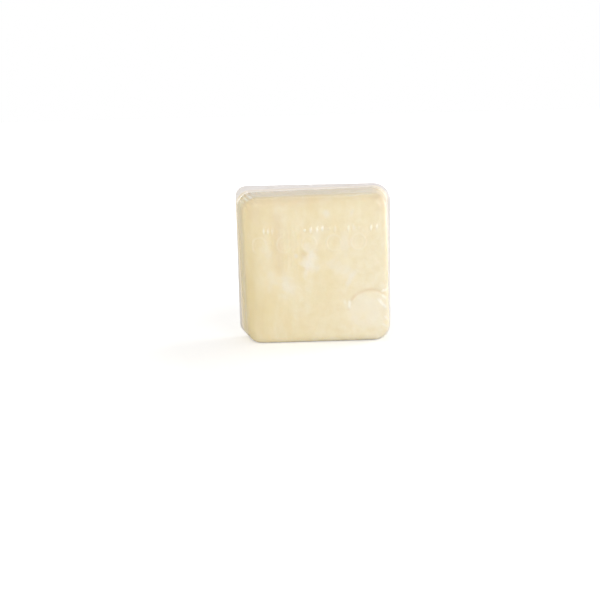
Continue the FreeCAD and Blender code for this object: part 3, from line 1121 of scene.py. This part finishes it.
# %% The crinkle group
def crinkle_group():
    group, given, result = new_group("film_crinkle", dict(Size=0.004, Depth=1.0, Gloss=0.1),
                                     ["Height", "Roughness"])
    place = node(group, "TexCoord").outputs["Object"]
    scale = maths(group, "DIVIDE", 1.0, given["Size"])
    crease = node(group, "TexNoise", {"Vector": place, "Scale": scale, "Detail": 2.0,
                                      "Distortion": 1.2}).outputs["Fac"]
    fine = node(group, "TexNoise", {"Vector": place, "Scale": times(group, scale, 5.0),
                                    "Detail": 1.0}).outputs["Fac"]
    sharp = times(group, maths(group, "ABSOLUTE", maths(group, "SUBTRACT", crease, 0.5)), -1.6)
    height = times(group, plus(group, sharp, times(group, fine, 0.25)), given["Depth"])
    group.links.new(height, result["Height"])
    group.links.new(plus(group, given["Gloss"], times(group, fine, 0.16)), result["Roughness"])
    return group


crinkling = crinkle_group()
print("group:", crinkling.name, [s.name for s in crinkling.interface.items_tree])

# %% [markdown]
# ## The cheese's own colour
# Tulum is ivory, a little more yellow where it is wet and dense, and whiter where the curd
# is dry and open. In one flat colour it would look like wax, so clouds of four sizes vary it:
# broad ones a few centimetres across, upright streaks from the pressing, curd-sized ones, and
# a fine grain. The slanting left side takes `straw_shade`, yellower and painted darker as shade,
# and the lower right is the palest. The slab's own masks come last, with their painted shade,
# sheen and highlights. Light goes a few millimetres into cheese, so its shadows are warm and
# soft, which is what the subsurface weight is for.

# %% Tones of the cheese, the share that each mask takes, and the clouds
# Some tones carry painted light: straw_shade and painted_shade_and_streak paint shade, misted_and_sheen a
# sheen, pale_and_highlit and painted_glint highlights.
TONES = {tone: colour(*paint) for tone, paint in dict(
    straw_shade=(222, 205, 158), cream=(238, 223, 182), fresh=(240, 225, 189), ivory=(244, 236, 212),
    dense=(229, 213, 168), grainy=(232, 214, 166), painted_shade_and_streak=(225, 203, 165), pale_and_highlit=(244, 236, 217),
    misted_and_sheen=(236, 224, 215), painted_glint=(255, 250, 233)).items()}
MASK_SHARES = dict(painted_shade_and_streak=0.7, pale_and_highlit=0.92, misted_and_sheen=1.0, painted_glint=1.0)
CLOUDS = dict(  # size in metres, contrast, seed, and how far the streaks are drawn out
    broad=(0.034, 3.0, 3.1), streaks=(0.012, 4.0, 5.2, 0.35), curd=(0.008, 3.0, 7.4),
    grain=(0.0012, 3.2, 1.9))
print("tones of the cheese:", ", ".join(TONES))

# %% Where the slab is yellower with painted shade, and where it is palest
STRAW_SHADE_STARTS, STRAW_SHADE_FULL = -0.040, -0.053


def side_tones(tree):
    """How much `straw_shade`, yellower with painted shade, and how much ivory there is. The numbers are
    places in metres.
    """
    object_place = node(tree, "TexCoord").outputs["Object"]
    place = node(tree, "SeparateXYZ", {0: object_place}).outputs
    left = ramp(tree, place["X"], STRAW_SHADE_STARTS, STRAW_SHADE_FULL)
    not_back = ramp(tree, place["Y"], 0.0114, 0.0120, 1.0, 0.2)
    not_top = ramp(tree, place["Z"], 0.085, 0.112, 1.0, 0.72)
    slope = maths(tree, "SUBTRACT", place["X"], times(tree, place["Z"], 0.35))
    return times(tree, left, not_back, not_top), ramp(tree, slope, -0.025, 0.05)


print("the slab is straw-coloured from x", STRAW_SHADE_STARTS / MM, "to its left side, mm")

# %% The cheese material
def cheese_material():
    material, tree = new_material("pressed_tulum")
    cloud = {name: mottle(tree, *numbers) for name, numbers in CLOUDS.items()}
    straw_shade, palest = side_tones(tree)
    streaky = times(tree, cloud["streaks"], maths(tree, "SUBTRACT", 0.62, times(tree, straw_shade, 0.3)))
    layers = [(palest, "ivory"), (straw_shade, "straw_shade"), (streaky, "ivory"),
              (times(tree, cloud["curd"], 0.45), "dense"), (times(tree, cloud["grain"], 0.20), "grainy")]
    layers += [(times(tree, mask_of(tree, name), share), name) for name, share in MASK_SHARES.items()]
    base = mix_colours(tree, cloud["broad"], TONES["cream"], TONES["fresh"])
    for share, tone in layers:
        base = mix_colours(tree, share, base, TONES[tone])
    pits = node(tree, "TexVoronoi", {"Scale": 420.0, "Randomness": 1.0}).outputs["Distance"]
    hole = ramp(tree, pits, 0.0, 0.22, -1.0, 0.0)
    height = plus(tree, times(tree, cloud["grain"], 0.9), times(tree, hole, 0.7))
    bump = node(tree, "Bump", {"Height": height, "Strength": 0.25, "Distance": 0.0003})
    surface = node(tree, "BsdfPrincipled", {
        "Base Color": base, "Roughness": plus(tree, times(tree, cloud["curd"], 0.16), 0.40), "Normal": bump,
        "Subsurface Weight": 0.2, "Subsurface Radius": (1.0, 0.7, 0.35), "Subsurface Scale": 0.004,
        "Specular IOR Level": 0.4})
    node(tree, "OutputMaterial", {"Surface": surface})
    return material


cheese_block.data.materials.append(cheese_material())
print("slab finish:", cheese_block.data.materials[0].name)

# %% [markdown]
# ## Clear film
# Film that clings to the cheese is nearly invisible: it only adds its gloss. Where it stands
# off, is creased or is welded, it turns whitish. So the surface mixes three things: clear
# film, a milky bloom that the film's masks bring out, and a gloss that grows towards grazing
# angles as on any plastic, less where the film carries its painted shade tint. The inner
# side of each web is left clear, because two layers of gloss a tenth of a millimetre apart would
# only double every highlight. And thin film stops hardly any light, but a milky shader would: the
# cheese under it would turn grey. So Light Path lets the lamps' light and the light that the
# cheese scatters go straight through.

# %% The film material
# SHADE_TINT_MILK is the yellow of the painted shade tint.
CLEAR, SLACK_MILK, SHADE_TINT_MILK = (1, 1, 1, 1), colour(235, 227, 218), colour(240, 227, 198)


def haziness(tree, mask, bloom):
    """How much of the film has turned milky. What is loosened does so in clouds."""
    patchy = plus(tree, times(tree, mottle(tree, 0.006, 2.2, 5.5), 0.9), 0.5)
    haze = times(tree, mask["loosened"], bloom["loosened"], patchy)
    for name in ("creased", "slack", "welded"):
        haze = plus(tree, haze, times(tree, mask[name], bloom[name]))
    return maths(tree, "ADD", haze, bloom["all_over"], clamp=True)


def web_material(title, tint, bloom, milk, gloss, size, depth):
    material, tree = new_material(title)
    mask = {name: mask_of(tree, name) for name in ("loosened", "creased", "slack", "welded", "shade_tint")}
    crinkle = node(tree, "Group", dict(Size=size, Depth=1.0, Gloss=gloss), node_tree=crinkling).outputs
    bump = node(tree, "Bump", {"Height": crinkle["Height"], "Strength": 0.35, "Distance": depth})
    clear = node(tree, "BsdfTransparent", {"Color": mix_colours(tree, mask["welded"], CLEAR, tint)})
    milky = mix_colours(tree, mask["welded"], SLACK_MILK, milk)
    milky = mix_colours(tree, mask["shade_tint"], milky, SHADE_TINT_MILK)
    cloudy = node(tree, "BsdfPrincipled", {"Base Color": milky, "Roughness": 0.45, "Normal": bump})
    bloomed = node(tree, "MixShader", {0: haziness(tree, mask, bloom), 1: clear, 2: cloudy})
    shine = node(tree, "Fresnel", {"IOR": 1.38, "Normal": bump}).outputs[0]
    kept_shine = maths(tree, "SUBTRACT", 1.0, times(tree, mask["shade_tint"], 0.75))
    glossy = node(tree, "BsdfAnisotropic", {"Color": CLEAR, "Roughness": crinkle["Roughness"],
                                            "Normal": bump})
    surface = node(tree, "MixShader", {0: times(tree, shine, kept_shine), 1: bloomed, 2: glossy})
    path = node(tree, "LightPath").outputs
    for let_through in (node(tree, "NewGeometry").outputs["Backfacing"],
                        path["Is Shadow Ray"], path["Is Diffuse Ray"]):
        surface = node(tree, "MixShader", {0: let_through, 1: surface, 2: node(tree, "BsdfTransparent")})
    node(tree, "OutputMaterial", {"Surface": surface})
    return material


drawn_film.data.materials.append(web_material(
    "clear_drawn_film", tint=(0.93, 0.92, 0.93, 1), milk=colour(226, 223, 225), gloss=0.10, size=0.006,
    depth=0.0003, bloom=dict(loosened=0.05, creased=0.25, slack=1.0, welded=0.65, all_over=0.01)))
lid_web.data.materials.append(web_material(
    "clear_lid_web", tint=(0.90, 0.895, 0.90, 1), milk=colour(226, 223, 222), gloss=0.14, size=0.009,
    depth=0.0002, bloom=dict(loosened=0.20, creased=0.10, slack=0.40, welded=0.75, all_over=0.02)))
print("webs:", drawn_film.data.materials[0].name, "and", lid_web.data.materials[0].name)

# %% [markdown]
# ## Standing in for the CAD solid
# All three pieces belong to the one body of the pack and take the place of its one solid.
# They could be joined into one mesh, but a piece that is clear and a piece that isn't are
# easier to light, check and change apart.

# %% Ride and replace
for piece in (cheese_block, drawn_film, lid_web):
    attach(piece, "root")
    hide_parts("sealed_cheese")
print("pieces that stand for the pack:", cheese_block.name, drawn_film.name, lid_web.name)

# %% [markdown]
# ## Floor and background
# A plain pale floor keeps the pack's shadow. The background is white to the camera, in
# reflections and through glass only, so it adds no light: Light Path tells those rays from the
# rest. A curved backdrop would hide the horizon too, but it would throw light on the pack. So
# the floor gives off white to the camera, more and more away from the pack, until it runs
# into the background without an edge.

# %% The floor
def pale_floor(half=3e3):
    corners = np.array([[-half, -half, 0], [half, -half, 0], [half, half, 0], [-half, half, 0.0]])
    floor = make_mesh("pale_floor", corners, np.array([[0, 1, 2, 3]]))
    floor.location.z = -0.0002  # just below the foot, so that the two don't share a plane
    material, tree = new_material("pale_paper")
    seen = node(tree, "LightPath").outputs["Is Camera Ray"]
    away = node(tree, "VectorMath", {0: node(tree, "TexCoord").outputs["Object"]},
                operation="LENGTH").outputs["Value"]
    matt = node(tree, "BsdfPrincipled", {
        "Base Color": (0.86, 0.86, 0.86, 1), "Roughness": 0.9, "Specular IOR Level": 0.1,
        "Emission Color": (1, 1, 1, 1),
        "Emission Strength": times(tree, seen, ramp(tree, away, 0.12, 0.5, 0.35, 1.0))})
    node(tree, "OutputMaterial", {"Surface": matt})
    floor.data.materials.append(material)


pale_floor()

# %% A white world that lights with its own strength
def studio_world(ambient):
    world = bpy.data.worlds.new("studio")
    bpy.context.scene.world = world
    world.use_nodes = True
    tree = world.node_tree
    tree.nodes.clear()
    path = node(tree, "LightPath").outputs
    seen = maths(tree, "MAXIMUM", path["Is Camera Ray"], path["Is Glossy Ray"])
    seen = maths(tree, "MAXIMUM", seen, path["Is Transmission Ray"])
    lit = node(tree, "Background", {"Color": (1.0, 0.99, 0.97, 1), "Strength": ambient})
    white = node(tree, "Background", {"Color": (1, 1, 1, 1), "Strength": 1.0})
    node(tree, "OutputWorld", {"Surface": node(tree, "MixShader", {0: seen, 1: lit, 2: white})})


studio_world(ambient=0.42)
print("white background:", bpy.context.scene.world.name)

# %% [markdown]
# ## Studio light
# A large soft lamp in front on the right does most of the work, and a weaker one on the left
# fills in. One lamp at each side, a little behind, draws the bright lines down the shoulders.
# The lamp overhead is the weakest, so the upper wall stays a shade darker than the face. One
# bare lamp would be quicker, but on film it leaves a hard white spot and a black shadow.

# %% Soft lamps
def aimed(name, data, place, aim):
    """A lamp or a camera that stands at one point and looks at another."""
    thing = bpy.data.objects.new(name, data)
    thing.location = place
    thing.rotation_mode = "QUATERNION"
    thing.rotation_quaternion = (Vector(aim) - Vector(place)).to_track_quat("-Z", "Y")
    bpy.context.scene.collection.objects.link(thing)
    return thing


def soft_lamp(name, place, aim, wide, high, watts, tint):
    lamp = bpy.data.lights.new(name, "AREA")
    lamp.shape, lamp.size, lamp.size_y = "RECTANGLE", wide, high
    lamp.energy, lamp.color = watts, tint
    aimed(name, lamp, place, aim)


LAMPS = [  # name, place and aim in metres, width, height, watts, tint
    ("key", (0.55, -1.03, 0.26), (0, 0, 0.06), 0.5, 0.7, 5.75, (1.0, 0.99, 0.972)),
    ("fill", (-0.50, -1.02, 0.25), (0, 0, 0.06), 0.8, 0.7, 2.3, (1.0, 0.99, 0.972)),
    ("right", (0.85, 0.35, 0.22), (0.06, 0, 0.06), 0.4, 0.6, 4.6, (1.0, 0.99, 0.97)),
    ("left", (-0.95, -0.12, 0.25), (-0.06, 0, 0.06), 0.5, 0.6, 2.2, (1.0, 0.985, 0.96)),
    ("top", (0.0, 0.10, 0.97), (0, 0, 0.1), 0.6, 0.4, 1.1, (1.0, 0.97, 0.94))]
for lamp in LAMPS:
    soft_lamp(*lamp)
print(len(LAMPS), "soft lamps,", round(sum(lamp[5] for lamp in LAMPS), 2), "watts in all")

# %% [markdown]
# ## The camera
# The camera is held in the hand, a touch askew, and looks down a little from just left of
# the middle. It aims below the pack and to the left of it, so that the pack stands high and a
# little to the right in the view. How far is given in 600ths of the view's width, because that
# can be measured with a ruler on any print, whatever the lens and the distance.

# %% Camera
SENSOR = 36  # millimetres
WIDTH_PARTS = 600


def studio_camera(side, raised, roll, far, lens, pack_right, pack_up):
    middle = Vector(((low.x + high.x) / 2, (low.y + high.y) / 2, (low.z + high.z) / 2))
    turn, lift = math.radians(side), math.radians(raised)
    back = Vector((math.sin(turn) * math.cos(lift), -math.cos(turn) * math.cos(lift), math.sin(lift)))
    right = Vector((math.cos(turn), math.sin(turn), 0))
    step = far * SENSOR / lens / WIDTH_PARTS
    aim = middle - right * pack_right * step - back.cross(right) * pack_up * step
    camera = aimed("camera", bpy.data.cameras.new("camera"), middle + back * far, aim)
    camera.data.lens = lens
    camera.rotation_quaternion = camera.rotation_quaternion @ Quaternion((0, 0, 1), math.radians(roll))
    bpy.context.scene.camera = camera
    return camera


camera = studio_camera(side=-0.5, raised=12.0, roll=-1.35, far=0.866, lens=59.85,
                       pack_right=15.0, pack_up=36.4)
bpy.context.scene.view_settings.view_transform = "Standard"
print("camera at", [round(c, 3) for c in camera.location])

# %% [markdown]
# ## Finish
# The visual model has to keep to the CAD model's box.

# %% Bring the scene up to date
bpy.context.view_layer.update()
